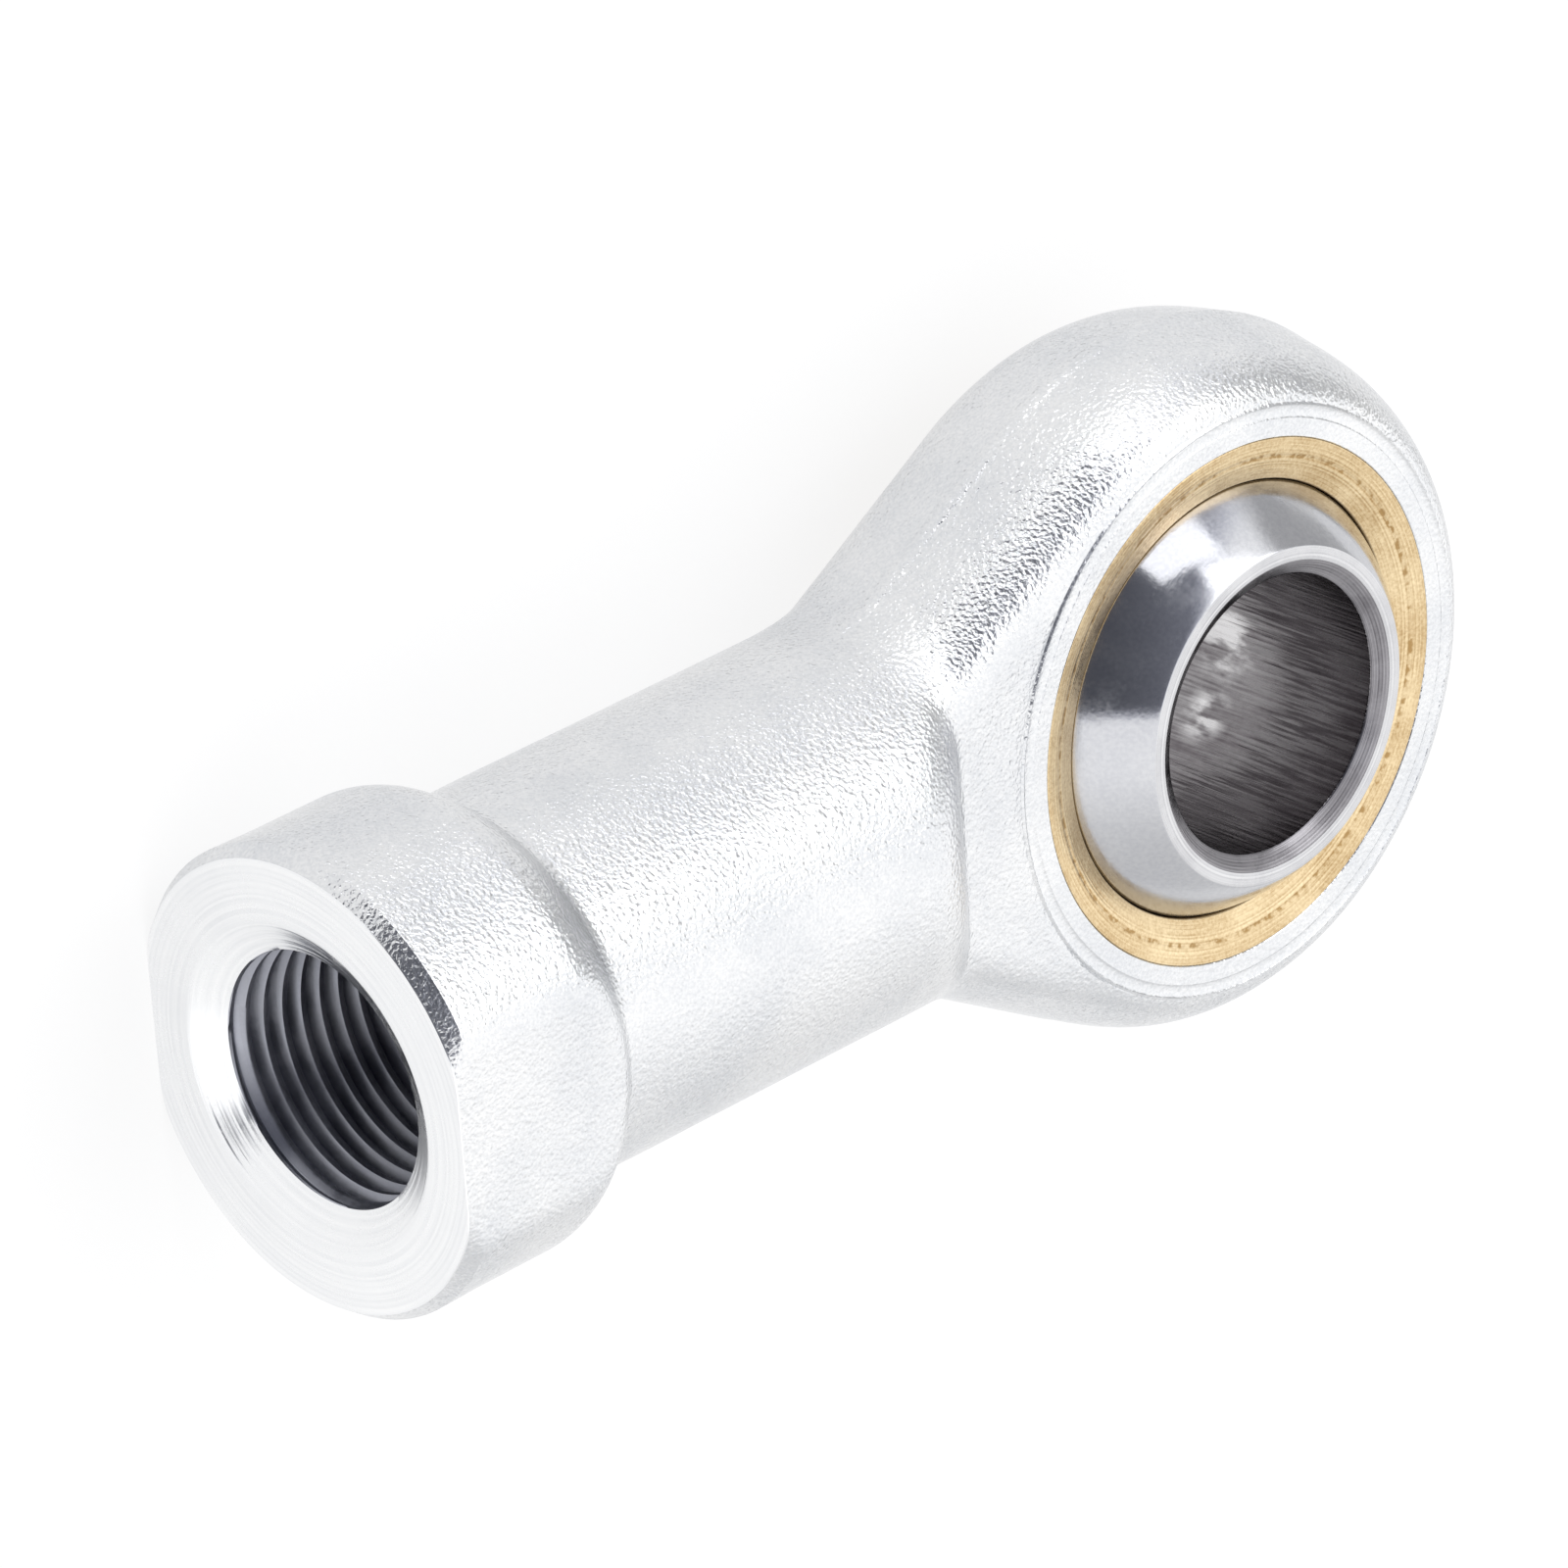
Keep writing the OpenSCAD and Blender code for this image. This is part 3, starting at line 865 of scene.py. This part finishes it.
# %% Camera
LENS, SENSOR = 275.06, 36.0
CAMERA_PLACE = (0.4717, -0.3250, 0.4793)
CAMERA_RIGHT = (-0.711, 0.068, 0.699)
CAMERA_UP = (-0.354, -0.894, -0.273)


def aimed(place, right, up):
    """A matrix at a place whose first two columns are the directions to the right and up, made square."""
    right = np.array(right) / np.linalg.norm(right)
    back = np.cross(right, up)
    back /= np.linalg.norm(back)
    turned = np.stack([right, np.cross(back, right), back], 1)
    return Matrix.Translation(place) @ Matrix(turned.tolist()).to_4x4()


lens = bpy.data.cameras.new("camera")
lens.lens, lens.sensor_width = LENS, SENSOR
camera = bpy.data.objects.new("camera", lens)
bpy.context.scene.collection.objects.link(camera)
camera.matrix_world = aimed(CAMERA_PLACE, CAMERA_RIGHT, CAMERA_UP)
bpy.context.scene.camera = camera
print("camera", round(float(np.linalg.norm(CAMERA_PLACE)), 3), "m from the ball")

# %% [markdown]
# The floor is a round sheet of paper under the flats. Most of its white is a glow that only the
# camera and reflections see, and the rest is lit paper, which is where the shadow falls.

# %% Floor
FLOOR_R, FLOOR_WHITE, FLOOR_LEVEL, FLOOR_GAP = 0.5, 0.78, 1.05, 0.02
PAPER = colour(0.92, 0.92, 0.92)


def floor_paper():
    """White to camera, mirror and glass rays by the share FLOOR_WHITE, and lit paper for the rest."""
    material = bpy.data.materials.new("floor_paper")
    material.use_nodes = True
    tree = material.node_tree
    tree.nodes.clear()
    rays = put(tree, "ShaderNodeLightPath").outputs
    mirrored_ray = sums(tree, "MAXIMUM", rays["Is Glossy Ray"], rays["Is Transmission Ray"])
    seen = sums(tree, "MAXIMUM", rays["Is Camera Ray"], mirrored_ray)
    paper = put(tree, "ShaderNodeBsdfDiffuse", [("Color", PAPER)]).outputs[0]
    white = put(tree, "ShaderNodeEmission", [("Strength", FLOOR_LEVEL)]).outputs[0]
    share = sums(tree, "MULTIPLY", seen, FLOOR_WHITE)
    mixed = put(tree, "ShaderNodeMixShader", [(0, share), (1, paper), (2, white)]).outputs[0]
    put(tree, "ShaderNodeOutputMaterial", [("Surface", mixed)])
    return material


floor_net = Net()
floor_spin = np.linspace(0, 2 * np.pi, 64, endpoint=False)
floor_r = (FLOOR_R * np.array([0, 0.25, 0.5, 1]) / MM)[::-1, None]
floor_points = grid(floor_r * np.cos(floor_spin), floor_r * np.sin(floor_spin), -FLAT_Z - FLOOR_GAP)
floor_numbers = floor_net.lay(floor_points[:-1])
floor_middle = floor_net.lay(floor_points[-1, :1])
floor_net.sew(np.concatenate([floor_numbers, np.broadcast_to(floor_middle, (1, len(floor_spin)))]))
floor = floor_net.mesh("floor", [floor_paper()], 30)

# %% [markdown]
# The room is a sky of levels, each worked out from how far a direction points to the right, down,
# up or to an end. That takes no walls, and every edge between light and dark can be made as soft
# as the reflections ask for. The lamps hang in front of it.

# %% Room and lamps
DOWN_IN_VIEW = tuple(-np.array(CAMERA_UP))
TO_FAR_END = (-0.927, -0.333, 0.171)
TO_NEAR_SIDE = (0, 1, 0)
UPWARD = (0, 0, 1)
ROOM_WHITE, ROOM_SIDE, ROOM_GREY, ROOM_DARK, ROOM_DIM = 1.35, 0.9, 0.6, 0.12, 0.38
TENT_HUE, OPENING_HUE = colour(1.0, 1.0, 1.0), colour(0.93, 0.96, 1.12)
OPENING_RIGHT, OPENING_DOWN, OPENING_UP = (0.3, 0.6), (0.33, 0.43), (0.0, 0.08)
INSIDE_FADE, SIDE_FADE, FAR_FADE = (-0.4, 0.9), (0.3, 1.0), (0.86, 0.95)
LOOK_AT, LAMP_AWAY = np.array([0.024, 0.0, 0.0]), 0.8


def studio_room():
    """A white tent that is duller on the near side and grey at the far end. Above the floor it is open
    and dark round the camera: the opening ends at a plane low in the view, and it grows paler to the
    right, where the tent's wall begins."""
    world = bpy.data.worlds.new("studio_room")
    world.use_nodes = True
    tree = world.node_tree
    tree.nodes.clear()
    way = put(tree, "ShaderNodeTexCoord").outputs["Generated"]

    def share(direction):
        """Share of the looked-up direction along another one."""
        wires = [(0, way), (1, direction)]
        return put(tree, "ShaderNodeVectorMath", wires, operation="DOT_PRODUCT").outputs["Value"]

    def mixed(factor, first, second):
        """One level passing into another."""
        wires = [("Factor", factor), ("A", first), ("B", second)]
        return put(tree, "ShaderNodeMix", wires).outputs["Result"]

    across = share(CAMERA_RIGHT)
    opening = spread(tree, across, *OPENING_RIGHT, 1.0, 0.0)
    not_low = spread(tree, share(DOWN_IN_VIEW), *OPENING_DOWN, 1.0, 0.0)
    opening = sums(tree, "MULTIPLY", opening, not_low)
    above_floor = spread(tree, share(UPWARD), *OPENING_UP, 0.0, 1.0)
    opening = sums(tree, "MULTIPLY", opening, above_floor)
    inside = spread(tree, across, *INSIDE_FADE, ROOM_DARK, ROOM_DIM)
    tent = spread(tree, share(TO_NEAR_SIDE), *SIDE_FADE, ROOM_WHITE, ROOM_SIDE)
    tent = mixed(spread(tree, share(TO_FAR_END), *FAR_FADE, 0.0, 1.0), tent, ROOM_GREY)
    hue = put(tree, "ShaderNodeMix", [("Factor", opening)], data_type="RGBA")
    hue.inputs["A"].default_value, hue.inputs["B"].default_value = TENT_HUE, OPENING_HUE
    wires = [("Strength", mixed(opening, tent, inside)), ("Color", hue.outputs["Result"])]
    background = put(tree, "ShaderNodeBackground", wires).outputs[0]
    put(tree, "ShaderNodeOutputWorld", [("Surface", background)])
    return world


def soft_lamp(name, way, width, radiance):
    """A square lamp in a direction from the part. Its power is radiance times pi times its area."""
    lamp = bpy.data.lights.new(name, "AREA")
    lamp.shape, lamp.size = "SQUARE", width
    lamp.energy = radiance * np.pi * width ** 2
    made = bpy.data.objects.new(name, lamp)
    bpy.context.scene.collection.objects.link(made)
    back = np.array(way) / np.linalg.norm(way)
    made.matrix_world = aimed(LOOK_AT + LAMP_AWAY * back, np.cross(UPWARD, back), UPWARD)
    made.visible_camera = False


bpy.context.scene.world = studio_room()
soft_lamp("key_lamp", (-0.38, -0.58, 0.72), 0.5, 1.6)
soft_lamp("edge_lamp", (-0.1, -0.965, 0.2), 0.48, 1.7)
bpy.context.scene.view_settings.view_transform = "Standard"
print("room and", len(bpy.data.lights), "lamps")
